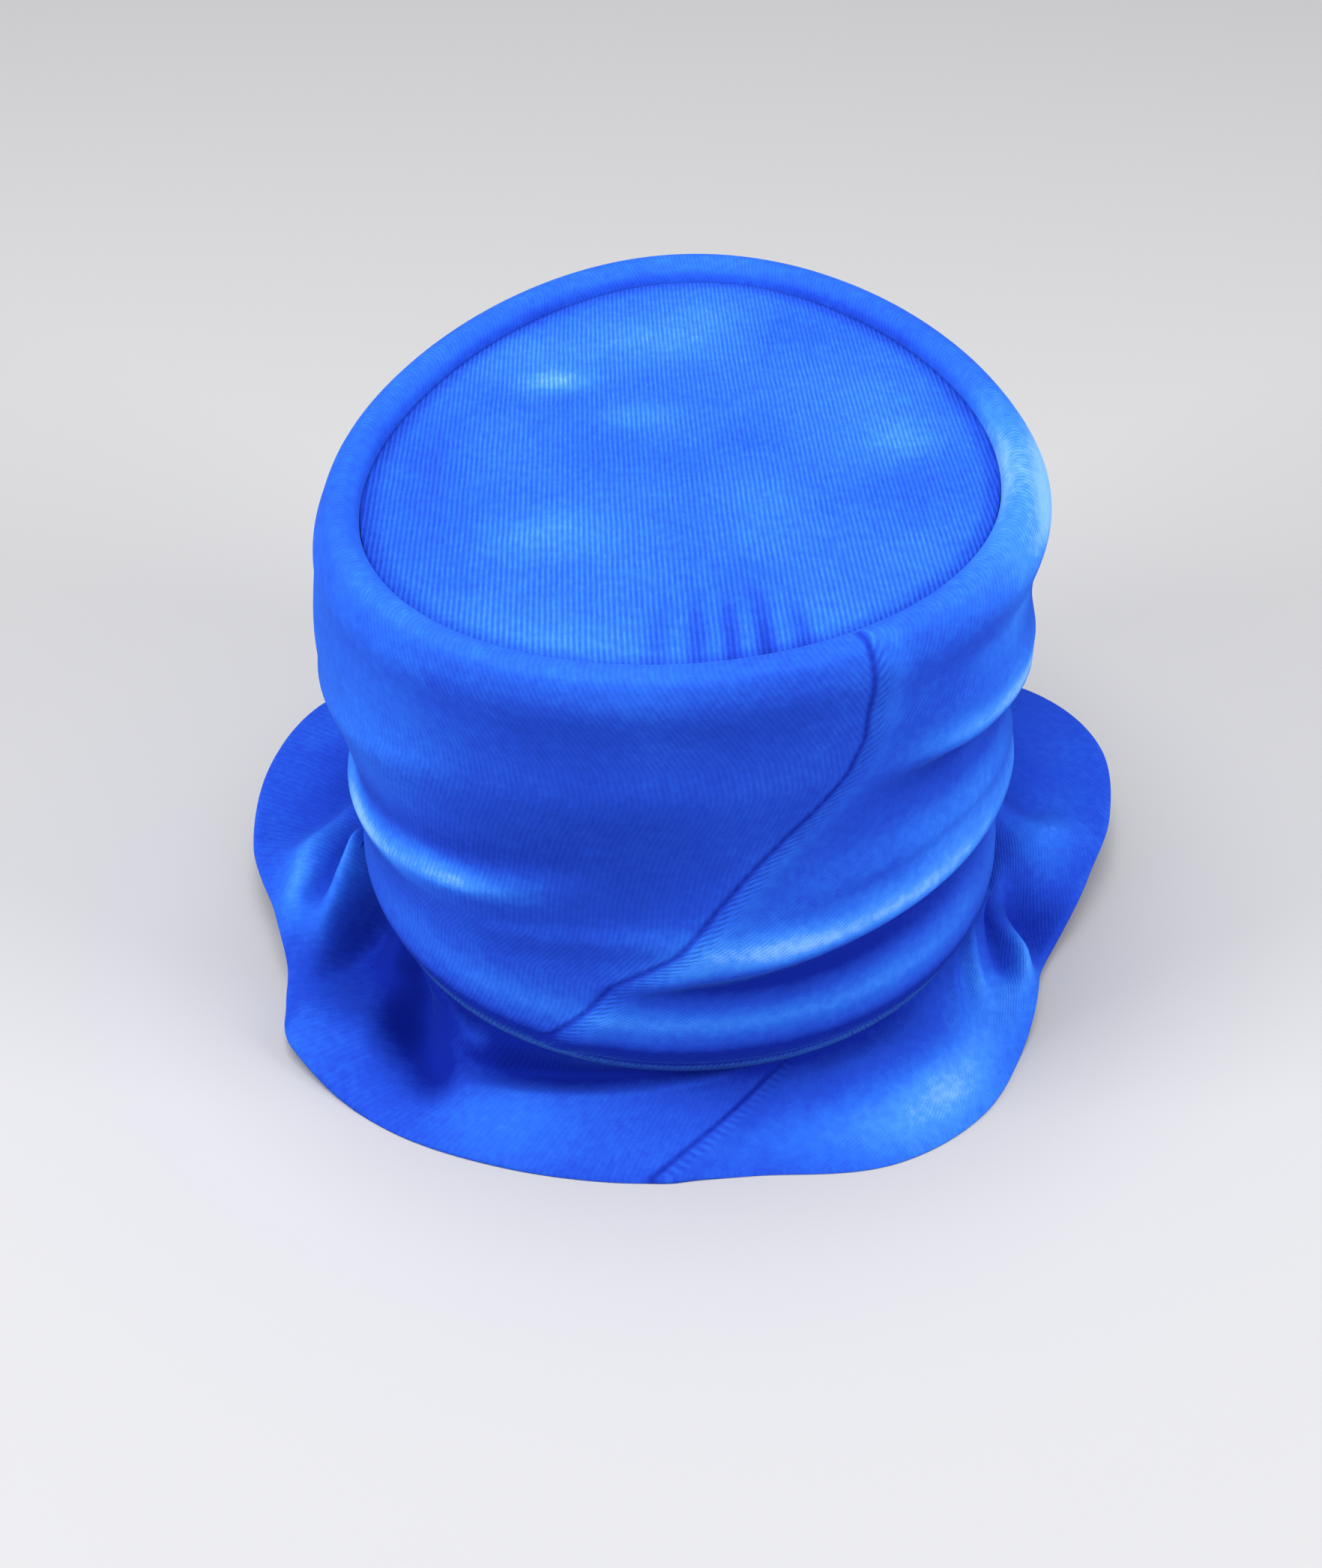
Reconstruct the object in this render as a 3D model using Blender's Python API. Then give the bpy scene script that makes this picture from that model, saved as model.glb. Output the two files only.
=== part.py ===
"""A soft velvet hat with a draped crown, a flat oval tip and a floppy doubled brim.

Three pieces make it: the tip, the draped side that rolls over above the tip and tucks under at the
head line, and the brim with a short collar inside the crown. The hat stands on its brim, +Z up,
with its front towards -Y. A turn is an angle round the head: 0 at the back, 90 on the wearer's left.
"""

import math

import bpy
import numpy as np

# The head opening, measured inside the collar
HEAD_WIDTH = 0.157
HEAD_LENGTH = 0.187
HEAD_EGG = 0.09
HEAD_SHIFT = 0.003

# The flat tip, which lies inside the roll
TIP_WIDTH = 0.161
TIP_LENGTH = 0.184
TIP_EGG = 0.17
TIP_SHIFT = 0.0055
TIP_SKEW = 0.095
TIP_DOME = 0.0025
TIP_PUCKER = 0.0012

# The draped side
HEAD_LINE = 0.039
CROWN_DEPTH = 0.111
ROLL_RISE = 0.0055
SHOULDER_REACH = 0.0125
BULGE_DROP = 0.0092
CLOTH = 0.0020
FOLD_DEPTH = 0.0060

# The brim, two layers of velvet
BRIM_REACH = 0.045
BRIM_CLOTH = 0.0036
COLLAR_CLOTH = 0.0022
COLLAR_RISE = 0.009
BELL_STEEPNESS = 0.55
FLUTE_DEPTH = 0.0075
REST_SINK = 0.0006

# The space between two pieces that are sewn together
SEAM_GAP = 0.0003

# How finely the surfaces are divided
CROWN_COLUMNS = 64
ROLL_ROWS = 6
WALL_ROWS = 15
TUCK_ROWS = 8
TIP_RINGS = 3
BRIM_COLUMNS = 80
BRIM_ROWS = 8

VELVET_BLUE = (0.020, 0.085, 0.640, 1.0)

# The roll: out is a share of SHOULDER_REACH, rise a share of ROLL_RISE above the tip's seam
ROLL = (
    dict(out=0.00, rise=-0.75),
    dict(out=0.00, rise=0.05),
    dict(out=0.09, rise=0.62),
    dict(out=0.34, rise=1.00),
    dict(out=0.66, rise=0.72),
)
# The wall at each side of the head: the columns are how far out it stands as shares of
# SHOULDER_REACH, height is a share of CROWN_DEPTH above the head line
WALL = (
    dict(height=0.975, back=0.84, left=0.88, front=0.68, right=1.02),
    dict(height=0.910, back=0.92, left=1.06, front=0.80, right=1.14),
    dict(height=0.810, back=0.88, left=1.22, front=0.84, right=1.14),
    dict(height=0.680, back=0.80, left=1.34, front=0.86, right=1.00),
    dict(height=0.550, back=0.74, left=1.28, front=0.80, right=0.74),
    dict(height=0.420, back=0.70, left=1.08, front=0.76, right=0.54),
    dict(height=0.300, back=0.66, left=0.84, front=0.72, right=0.50),
    dict(height=0.190, back=0.66, left=0.66, front=0.70, right=0.60),
    dict(height=0.090, back=0.70, left=0.64, front=0.70, right=0.68),
)
# The tuck: out is a share of SHOULDER_REACH, drop a share of BULGE_DROP below the head line
TUCK = (
    dict(out=0.72, drop=0.28),
    dict(out=0.70, drop=0.68),
    dict(out=0.59, drop=0.97),
    dict(out=0.40, drop=0.97),
    dict(out=0.28, drop=0.66),
    dict(out=0.235, drop=0.24),
)
# How full the roll is and how far the tuck hangs at each side, as shares
SIDES = (
    dict(side="back", roll=0.55, bulge=1.00),
    dict(side="left", roll=1.00, bulge=0.75),
    dict(side="front", roll=1.00, bulge=0.65),
    dict(side="right", roll=1.00, bulge=0.85),
)
# The swags of the draped side, each a ridge from one turn and height to another. Heights, sag and
# the widths above and below are shares of CROWN_DEPTH; depth is a share of FOLD_DEPTH.
SWAGS = (
    dict(turn=(-98, -24), level=(0.44, 0.66), sag=0.08, depth=0.85, above=0.13, below=0.055),
    dict(turn=(-112, 20), level=(0.21, 0.11), sag=0.11, depth=1.00, above=0.17, below=0.055),
    dict(turn=(10, 112), level=(0.43, 0.14), sag=-0.02, depth=0.75, above=0.055, below=0.15),
    dict(turn=(-34, 66), level=(0.66, 0.60), sag=0.05, depth=0.25, above=0.08, below=0.14),
    dict(turn=(112, 236), level=(0.50, 0.34), sag=-0.08, depth=0.70, above=0.15, below=0.07),
    dict(turn=(150, 250), level=(0.20, 0.48), sag=-0.08, depth=0.70, above=0.14, below=0.07),
)
# The brim's edge: reach is a share of BRIM_REACH out of the head opening, lift a share of HEAD_LINE
# above the table
BRIM_EDGE = (
    dict(turn=-10, reach=0.52, lift=0.00),
    dict(turn=10, reach=0.57, lift=0.00),
    dict(turn=25, reach=0.66, lift=0.00),
    dict(turn=40, reach=0.80, lift=0.00),
    dict(turn=53, reach=0.96, lift=0.00),
    dict(turn=61, reach=0.96, lift=0.03),
    dict(turn=70, reach=0.74, lift=0.18),
    dict(turn=79, reach=0.84, lift=0.30),
    dict(turn=90, reach=1.00, lift=0.38),
    dict(turn=107, reach=1.12, lift=0.42),
    dict(turn=122, reach=1.10, lift=0.38),
    dict(turn=138, reach=0.92, lift=0.14),
    dict(turn=154, reach=0.80, lift=0.00),
    dict(turn=180, reach=0.88, lift=0.00),
    dict(turn=205, reach=0.80, lift=0.00),
    dict(turn=222, reach=0.86, lift=0.16),
    dict(turn=238, reach=1.12, lift=0.44),
    dict(turn=253, reach=1.22, lift=0.50),
    dict(turn=266, reach=1.06, lift=0.42),
    dict(turn=278, reach=0.80, lift=0.32),
    dict(turn=292, reach=0.58, lift=0.14),
    dict(turn=306, reach=0.72, lift=0.02),
    dict(turn=318, reach=0.82, lift=0.00),
    dict(turn=332, reach=0.76, lift=0.00),
)
# The folds of the brim, each a ridge or, where depth is negative, a valley. Level runs from 0 at
# the neck to 1 at the edge; sag and the widths are shares of it; depth is a share of FLUTE_DEPTH.
FLUTES = (
    dict(turn=(88, 69), level=(0.00, 1.10), sag=0.00, depth=0.80, above=0.22, below=0.20),
    dict(turn=(76, 64), level=(0.00, 1.00), sag=0.00, depth=-0.80, above=0.22, below=0.30),
    dict(turn=(34, 66), level=(0.15, 0.70), sag=0.05, depth=-0.60, above=0.25, below=0.30),
    dict(turn=(50, 62), level=(0.55, 1.15), sag=0.00, depth=0.55, above=0.30, below=0.25),
    dict(turn=(122, 84), level=(0.30, 0.75), sag=0.05, depth=-0.65, above=0.25, below=0.30),
    dict(turn=(46, -34), level=(0.62, 0.42), sag=-0.05, depth=-0.45, above=0.28, below=0.20),
    dict(turn=(-76, -55), level=(0.00, 1.15), sag=0.10, depth=0.70, above=0.30, below=0.25),
    dict(turn=(-86, -68), level=(0.00, 1.10), sag=0.05, depth=-0.85, above=0.25, below=0.22),
    dict(turn=(-100, -84), level=(0.05, 1.00), sag=0.00, depth=0.60, above=0.25, below=0.30),
    dict(turn=(134, 142), level=(0.10, 1.10), sag=0.00, depth=-0.60, above=0.35, below=0.35),
    dict(turn=(222, 212), level=(0.10, 1.10), sag=0.00, depth=-0.60, above=0.35, below=0.35),
)


def turns(count):
    """Angles round the head in radians, evenly spaced, from the back towards the wearer's left."""
    return np.arange(count) * (2 * math.pi / count)


def oval(turn, width, length, egg, shift, skew=0.0):
    """Plan points of an oval widest behind its middle, moved back by shift, its left side by skew."""
    x = 0.5 * width * np.sin(turn) * (1 + egg * np.cos(turn))
    y = 0.5 * length * np.cos(turn) + shift + skew * x
    return x, y


def side_weights(turn):
    """How much the back, left, front and right each count at a turn; the four add up to one."""
    cosine, sine = np.cos(turn), np.sin(turn)
    parts = [np.maximum(cosine, 0), np.maximum(sine, 0), np.maximum(-cosine, 0), np.maximum(-sine, 0)]
    return np.stack(parts) ** 2


def plan_normal(x, y):
    """Unit directions in plan that point out of the oval."""
    step_x = np.roll(x, -1) - np.roll(x, 1)
    step_y = np.roll(y, -1) - np.roll(y, 1)
    size = np.hypot(step_x, step_y)
    return -step_y / size, step_x / size


def smooth_rows(rows, place):
    """Points of a smooth curve through the rows, at the given places counted in rows."""
    padded = np.vstack([2 * rows[0] - rows[1], rows, 2 * rows[-1] - rows[-2]])
    left = np.minimum(place.astype(int), len(rows) - 2)
    t = (place - left)[:, None]
    a, b, c, d = (padded[left + k] for k in range(4))
    return 0.5 * (2 * b + (c - a) * t + (2 * a - 5 * b + 4 * c - d) * t**2 + (3 * b - a - 3 * c + d) * t**3)


def round_values(sections, column, turn):
    """A column of a table of sections as a smooth value at every turn round the head."""
    ordered = sorted((row["turn"] % 360, row[column]) for row in sections)
    knots = np.array([k for k, _ in ordered], float)
    values = np.array([v for _, v in ordered], float)
    after = np.roll(knots, -1) + 360 * (np.arange(len(knots)) == len(knots) - 1)
    before = np.roll(knots, 1) - 360 * (np.arange(len(knots)) == 0)
    slope = (np.roll(values, -1) - np.roll(values, 1)) / (after - before)
    degrees = np.degrees(turn) % 360
    i = (np.searchsorted(knots, degrees, side="right") - 1) % len(knots)
    j = (i + 1) % len(knots)
    span = after[i] - knots[i]
    t = ((degrees - knots[i]) % 360) / span
    return (
        (2 * t**3 - 3 * t**2 + 1) * values[i]
        + (t**3 - 2 * t**2 + t) * span * slope[i]
        + (3 * t**2 - 2 * t**3) * values[j]
        + (t**3 - t**2) * span * slope[j]
    )


def surface_normals(grid):
    """Unit normals of a grid of points that closes round its second index, pointing outwards."""
    along = np.gradient(grid, axis=0)
    across = np.roll(grid, -1, axis=1) - np.roll(grid, 1, axis=1)
    normal = np.cross(across, along)
    return normal / np.linalg.norm(normal, axis=2, keepdims=True)


def ease(share):
    """0 to 1 with no sudden change of slope at the ends."""
    share = np.clip(share, 0, 1)
    return share * share * (3 - 2 * share)


def fold_field(folds, turn, level, turn_size):
    """The sum of the folds' ridges at each turn and level; turn_size is a degree measured in levels."""
    field = np.zeros(np.broadcast(turn, level).shape)
    for fold in folds:
        first, last = fold["turn"]
        middle = (first + last) / 2
        degrees = (np.degrees(turn) - middle + 180) % 360 - 180 + middle
        run, climb = (last - first) * turn_size, fold["level"][1] - fold["level"][0]
        length = math.hypot(run, climb)
        across, up = (degrees - first) * turn_size, level - fold["level"][0]
        share = (across * run + up * climb) / length**2
        gap = (up * run - across * climb) / length * math.copysign(1, run)
        gap = gap - 4 * fold["sag"] * share * (1 - share)
        width = np.where(gap > 0, fold["above"], fold["below"])
        ends = ease(share / 0.3) * ease((1 - share) / 0.3)
        field = field + fold["depth"] * ends * np.exp(-((gap / width) ** 2))
    return field


def side_grid():
    """The outer face of the draped side, from the tip's seam down to the head line."""
    tip_seam = HEAD_LINE + CROWN_DEPTH
    names = [side["side"] for side in SIDES]
    reach = SHOULDER_REACH
    rows = [[reach * r["out"]] * 4 + [tip_seam, ROLL_RISE * r["rise"], 0] for r in ROLL]
    rows += [[reach * r[n] for n in names] + [HEAD_LINE + CROWN_DEPTH * r["height"], 0, 0] for r in WALL]
    rows += [[reach * r["out"]] * 4 + [HEAD_LINE, 0, -BULGE_DROP * r["drop"]] for r in TUCK]
    rows.append([COLLAR_CLOTH + SEAM_GAP] * 4 + [HEAD_LINE + SEAM_GAP, 0, 0])
    wall_start, tuck_start, end = len(ROLL), len(ROLL) + len(WALL), len(rows) - 1
    roll_places = np.linspace(0, wall_start, ROLL_ROWS, endpoint=False)
    wall_places = np.linspace(wall_start, tuck_start, WALL_ROWS, endpoint=False)
    places = np.concatenate([roll_places, wall_places, np.linspace(tuck_start, end, TUCK_ROWS)])
    curve = smooth_rows(np.array(rows, float), places)
    turn = turns(CROWN_COLUMNS)
    weights = side_weights(turn)
    out = curve[:, :4] @ weights
    height = curve[:, 4:5] + curve[:, 5:6] * (np.array([side["roll"] for side in SIDES]) @ weights)
    height = height + curve[:, 6:7] * (np.array([side["bulge"] for side in SIDES]) @ weights)
    level = np.clip((height - HEAD_LINE) / CROWN_DEPTH, 0, 1)
    tip_x, tip_y = oval(turn, TIP_WIDTH, TIP_LENGTH, TIP_EGG, TIP_SHIFT, TIP_SKEW)
    head_x, head_y = oval(turn, HEAD_WIDTH, HEAD_LENGTH, HEAD_EGG, HEAD_SHIFT)
    blend = ease(level)
    tip_normal = plan_normal(tip_x, tip_y)
    head_normal = plan_normal(head_x, head_y)
    x = head_x + (tip_x - head_x) * blend + out * (head_normal[0] + (tip_normal[0] - head_normal[0]) * blend)
    y = head_y + (tip_y - head_y) * blend + out * (head_normal[1] + (tip_normal[1] - head_normal[1]) * blend)
    grid = np.stack([x, y, height], axis=2)
    fade = ease((level - 0.01) / 0.10) * ease((0.97 - level) / 0.12)
    turn_size = math.radians(1) * (HEAD_WIDTH + HEAD_LENGTH + 4 * SHOULDER_REACH) / 4 / CROWN_DEPTH
    lift = FOLD_DEPTH * fade * (fold_field(SWAGS, turn[None, :], level, turn_size) - 0.25)
    return grid + lift[:, :, None] * surface_normals(grid)


def brim_grid():
    """The upper face of the brim: down the collar and the neck, then out in a bell to the edge."""
    turn = turns(BRIM_COLUMNS)
    head_x, head_y = oval(turn, HEAD_WIDTH, HEAD_LENGTH, HEAD_EGG, HEAD_SHIFT)
    normal_x, normal_y = plan_normal(head_x, head_y)
    half_edge = BRIM_CLOTH / 2
    bulge = np.array([side["bulge"] for side in SIDES]) @ side_weights(turn)
    neck = BULGE_DROP * bulge + SEAM_GAP
    reach = BRIM_REACH * round_values(BRIM_EDGE, "reach", turn) - COLLAR_CLOTH - half_edge
    lift = HEAD_LINE * np.maximum(round_values(BRIM_EDGE, "lift", turn), 0)
    drop = HEAD_LINE - lift - half_edge + REST_SINK - neck
    along = np.linspace(0, 1, BRIM_ROWS)[:, None]
    rise = 2 * along * (1 - along) * BELL_STEEPNESS + along**2
    out = np.vstack([0 * reach, 0 * reach, along**2 * reach]) + COLLAR_CLOTH
    down = np.vstack([0 * reach - COLLAR_RISE, 0 * reach, neck + rise * drop])
    grid = np.stack([head_x + out * normal_x, head_y + out * normal_y, HEAD_LINE - down], axis=2)
    turn_size = math.radians(1) * (HEAD_WIDTH + HEAD_LENGTH + 2 * BRIM_REACH) / 4 / BRIM_REACH
    field = fold_field(FLUTES, turn[None, :], along, turn_size) * ease(along / 0.35)
    field = np.vstack([np.zeros((2, BRIM_COLUMNS)), field])
    return grid + (FLUTE_DEPTH * field)[:, :, None] * surface_normals(grid)


def tip_grid():
    """The upper face of the tip, from its seam to near its middle, with small puckers at the back."""
    share = np.linspace(1, 0, TIP_RINGS + 1)[:-1, None]
    turn = turns(CROWN_COLUMNS)[None, :]
    x, y = oval(turn, TIP_WIDTH - 2 * SEAM_GAP, TIP_LENGTH - 2 * SEAM_GAP, TIP_EGG, 0.0, TIP_SKEW)
    height = HEAD_LINE + CROWN_DEPTH + TIP_DOME * (1 - share**2)
    pucker = np.exp(-((((np.degrees(turn) + 180) % 360 - 180) / 14) ** 2))
    height = height - TIP_PUCKER * pucker * share**2 * (1 - share) * 6
    return np.stack([share * x, share * y + TIP_SHIFT, height + 0 * turn], axis=2)


def make_piece(name, points, faces, material):
    """A named object from points and faces, shaded smooth apart from its sharp edges."""
    mesh = bpy.data.meshes.new(name)
    mesh.from_pydata(points.tolist(), [], faces.tolist())
    mesh.shade_smooth()
    mesh.set_sharp_from_angle(angle=math.radians(50))
    mesh.materials.append(material)
    piece = bpy.data.objects.new(name, mesh)
    bpy.context.scene.collection.objects.link(piece)
    return piece


def loop_faces(rows, columns):
    """Triangles of a grid that closes both ways, the cloth's whole section taken round the head."""
    i, j = np.meshgrid(np.arange(rows), np.arange(columns), indexing="ij")
    a = i * columns + j
    b = i * columns + (j + 1) % columns
    c = (i + 1) % rows * columns + (j + 1) % columns
    d = (i + 1) % rows * columns + j
    return np.concatenate([np.stack([a, b, c], -1).reshape(-1, 3), np.stack([a, c, d], -1).reshape(-1, 3)])


def velvet(name, roughness):
    """Blue velvet as one plain surface."""
    material = bpy.data.materials.new(name)
    material.use_nodes = True
    shader = material.node_tree.nodes["Principled BSDF"]
    shader.inputs["Base Color"].default_value = VELVET_BLUE
    shader.inputs["Roughness"].default_value = roughness
    shader.inputs["Metallic"].default_value = 0.0
    return material


def side_section():
    """The draped side's whole section at every turn: its outer face, then one cloth inside it."""
    outer = side_grid()
    inner = outer - CLOTH * surface_normals(outer)
    return np.vstack([outer, inner[::-1]])


def brim_section():
    """The brim's whole section at every turn: upper face, round edge, lower face, flat at the table."""
    upper = brim_grid()
    normal = surface_normals(upper)
    cloth = np.full(len(upper), BRIM_CLOTH)
    cloth[:2] = COLLAR_CLOTH
    cloth[2] = (COLLAR_CLOTH + BRIM_CLOTH) / 2
    lower = upper - cloth[:, None, None] * normal
    outwards = upper[-1] - upper[-2]
    outwards /= np.linalg.norm(outwards, axis=1, keepdims=True)
    middle = (upper[-1] + lower[-1]) / 2
    bends = np.radians([45, 90, 135])
    edge = [middle + BRIM_CLOTH / 2 * (math.cos(b) * normal[-1] + math.sin(b) * outwards) for b in bends]
    section = np.vstack([upper, np.array(edge), lower[::-1]])
    section[:, :, 2] = np.maximum(section[:, :, 2], 0.0)
    return section


def tip_solid():
    """The tip's points and faces: an oval of cloth closed by a point at the middle of each face."""
    upper = tip_grid()
    rings, columns, _ = upper.shape
    lower = upper - np.array([0, 0, CLOTH])
    top = np.array([0, TIP_SHIFT, HEAD_LINE + CROWN_DEPTH + TIP_DOME])
    points = np.vstack([upper[::-1].reshape(-1, 3), lower.reshape(-1, 3), [top], [top - [0, 0, CLOTH]]])
    faces = loop_faces(2 * rings, columns)
    last = (2 * rings - 1) * columns
    faces = faces[(faces.min(axis=1) >= columns) | (faces.max(axis=1) < last)]
    j = np.arange(columns)
    k = (j + 1) % columns
    upper_fan = np.stack([np.full(columns, len(points) - 2), k, j], axis=1)
    lower_fan = np.stack([np.full(columns, len(points) - 1), last + j, last + k], axis=1)
    return points, np.vstack([faces, upper_fan, lower_fan])


def main():
    for old in list(bpy.data.objects):
        bpy.data.objects.remove(old)
    side, brim = side_section(), brim_section()
    tip_points, tip_faces = tip_solid()
    corners = brim.reshape(-1, 3)
    centre = (corners.min(axis=0) + corners.max(axis=0)) / 2 * [1, 1, 0]
    make_piece("crown_tip", tip_points - centre, tip_faces, velvet("tip", 0.9))
    make_piece("crown_side", side.reshape(-1, 3) - centre, loop_faces(*side.shape[:2]), velvet("side", 0.9))
    make_piece("brim", corners - centre, loop_faces(*brim.shape[:2]), velvet("brim", 0.9))


main()
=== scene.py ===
# %% [markdown]
# # A soft velvet hat
#
# The hat is cut from blue ribbed velvet in three parts: a flat oval tip, a tall side that is draped
# while it is sewn, and a short doubled brim. Each part is one cloth, so each is one closed surface
# here: the outer face, the fold of the edge, and the inner face one cloth further in.

import math

import bpy
import numpy as np
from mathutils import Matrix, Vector


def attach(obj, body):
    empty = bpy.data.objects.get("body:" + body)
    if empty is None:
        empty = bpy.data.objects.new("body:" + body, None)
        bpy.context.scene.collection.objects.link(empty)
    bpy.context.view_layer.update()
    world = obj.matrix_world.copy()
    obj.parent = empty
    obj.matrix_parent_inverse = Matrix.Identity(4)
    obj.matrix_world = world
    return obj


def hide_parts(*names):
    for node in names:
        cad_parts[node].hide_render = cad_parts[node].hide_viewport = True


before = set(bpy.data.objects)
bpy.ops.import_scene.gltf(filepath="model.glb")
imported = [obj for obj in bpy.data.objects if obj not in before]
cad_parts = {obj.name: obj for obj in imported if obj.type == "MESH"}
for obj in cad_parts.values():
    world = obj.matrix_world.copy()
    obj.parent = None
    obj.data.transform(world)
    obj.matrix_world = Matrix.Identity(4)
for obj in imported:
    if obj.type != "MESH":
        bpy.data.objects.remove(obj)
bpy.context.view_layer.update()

# %% [markdown]
# ## Sizes
#
# The head opening, the tip and the cloth have the sizes of the solids. Directions round the head are
# turns in degrees: 0 at the back, 90 on the wearer's left, 180 at the front. The plan is worked out
# round the head and then moved by PLAN_SHIFT, because the frame's origin is under the brim's middle.
#
# A seam is a groove with a puckered lip beside it, one STITCH to each pucker. It can show within
# SEAM_SPAN degrees of its line, and points beyond that are kept at NO_SEAM, too far for it to show.

# %% Named sizes
HEAD_WIDTH, HEAD_LENGTH, HEAD_EGG, HEAD_SHIFT = 0.157, 0.187, 0.09, 0.003
TIP_WIDTH, TIP_LENGTH, TIP_EGG, TIP_SHIFT, TIP_SKEW = 0.161, 0.184, 0.17, 0.0055, 0.095
TIP_DOME = 0.0025
HEAD_LINE = 0.039
CROWN_DEPTH = 0.111
ROLL_RISE = 0.0055
SHOULDER_REACH = 0.0125
BULGE_DROP = 0.0092
CLOTH = 0.0020
BRIM_REACH = 0.045
BRIM_CLOTH = 0.0036
COLLAR_CLOTH = 0.0022
COLLAR_RISE = 0.009
REST_SINK = 0.0006
SEAM_GAP = 0.0003
PLAN_SHIFT = np.array([0.0013, 0.00485, 0.0])
RIB = 0.0013
STITCH = 0.0024
SEAM_WIDTH = 0.0008
LIP_AT, LIP_WIDTH = 0.0024, 0.0018
SEAM_SPAN = 60
NO_SEAM = 0.05

# %% [markdown]
# ## Curves and ovals
#
# A velvet part is a profile carried round an oval. These helpers give the ovals, the smooth profiles
# and the weights that let the back, left, front and right of the hat differ.


# %% Helpers for surfaces
def ease(share):
    """0 to 1 with no sudden slope: three shares squared less two shares cubed."""
    share = np.clip(share, 0, 1)
    return share * share * (3 - 2 * share)


def bell(gap, width):
    """1 in the middle, falling off as exp(-(gap / width) squared)."""
    return np.exp(-((gap / width) ** 2))


def turns(count):
    """Evenly spaced angles round the head, in radians."""
    return np.arange(count) * (2 * math.pi / count)


def oval(turn, width, length, egg, shift, skew=0.0):
    """Sine and cosine of the turn, scaled; egg widens it behind the middle, skew tilts it in plan."""
    x = 0.5 * width * np.sin(turn) * (1 + egg * np.cos(turn))
    y = 0.5 * length * np.cos(turn) + shift + skew * x
    return x, y


def plan_normal(x, y):
    """The oval's outward direction: its tangent turned by a quarter."""
    step_x = np.roll(x, -1) - np.roll(x, 1)
    step_y = np.roll(y, -1) - np.roll(y, 1)
    size = np.hypot(step_x, step_y)
    return -step_y / size, step_x / size


def side_weights(turn):
    """Squares of the positive parts of cosine and sine, which add up to one at every turn."""
    cosine, sine = np.cos(turn), np.sin(turn)
    parts = [np.maximum(cosine, 0), np.maximum(sine, 0), np.maximum(-cosine, 0), np.maximum(-sine, 0)]
    return np.stack(parts) ** 2


def smooth_rows(rows, place):
    """A cubic through the rows whose slope at each row is half the step between its neighbours."""
    padded = np.vstack([2 * rows[0] - rows[1], rows, 2 * rows[-1] - rows[-2]])
    left = np.minimum(place.astype(int), len(rows) - 2)
    t = (place - left)[:, None]
    a, b, c, d = (padded[left + k] for k in range(4))
    return 0.5 * (2 * b + (c - a) * t + (2 * a - 5 * b + 4 * c - d) * t**2 + (3 * b - a - 3 * c + d) * t**3)


def round_values(sections, column, turn):
    """The same cubic round the head, through unevenly spaced turns."""
    ordered = sorted((row["turn"] % 360, row[column]) for row in sections)
    knots, values = np.array(ordered, float).T
    after = np.roll(knots, -1) + 360 * (np.arange(len(knots)) == len(knots) - 1)
    before = np.roll(knots, 1) - 360 * (np.arange(len(knots)) == 0)
    slope = (np.roll(values, -1) - np.roll(values, 1)) / (after - before)
    degrees = np.degrees(turn) % 360
    i = (np.searchsorted(knots, degrees, side="right") - 1) % len(knots)
    j = (i + 1) % len(knots)
    span = after[i] - knots[i]
    t = ((degrees - knots[i]) % 360) / span
    start = (2 * t**3 - 3 * t**2 + 1) * values[i] + (t**3 - 2 * t**2 + t) * span * slope[i]
    return start + (3 * t**2 - 2 * t**3) * values[j] + (t**3 - t**2) * span * slope[j]


def surface_normals(grid):
    """The cross product of the steps along and across a grid that closes round its columns."""
    along = np.gradient(grid, axis=0)
    across = np.roll(grid, -1, axis=1) - np.roll(grid, 1, axis=1)
    normal = np.cross(across, along)
    return normal / np.linalg.norm(normal, axis=2, keepdims=True)


# %% [markdown]
# ## Folds
#
# Draped velvet falls in soft ridges with a sharper underside. A fold is a line from one turn and
# level to another, bowed by its sag; the cloth rises by a bell curve of the distance from that line,
# and the bell is wider on one side than on the other.


# %% Folds
def fold_field(folds, turn, level, turn_size):
    """The sum over the folds of depth times exp(-(distance / width) squared), eased at the ends."""
    field = np.zeros(np.broadcast(turn, level).shape)
    for first, last, low, high, sag, depth, above, below in folds:
        middle = (first + last) / 2
        degrees = (np.degrees(turn) - middle + 180) % 360 - 180 + middle
        run, climb = (last - first) * turn_size, high - low
        length = math.hypot(run, climb)
        across, up = (degrees - first) * turn_size, level - low
        share = (across * run + up * climb) / length**2
        gap = (up * run - across * climb) / length * math.copysign(1, run)
        gap = gap - 4 * sag * share * (1 - share)
        width = np.where(gap > 0, above, below)
        ends = ease(share / 0.3) * ease((1 - share) / 0.3)
        field = field + depth * ends * bell(gap, width)
    return field


def patches(marks, turn, level):
    """Soft patches of brushed pile, painted highlight and painted shade: each adds its strength times a bell
    curve in turn and in level.
    """
    total = np.zeros(np.broadcast(turn, level).shape)
    for at_turn, at_level, wide_turn, wide_level, strength in marks:
        gap = (np.degrees(turn) - at_turn + 180) % 360 - 180
        total = total + strength * bell(gap, wide_turn) * bell(level - at_level, wide_level)
    return total
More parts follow.
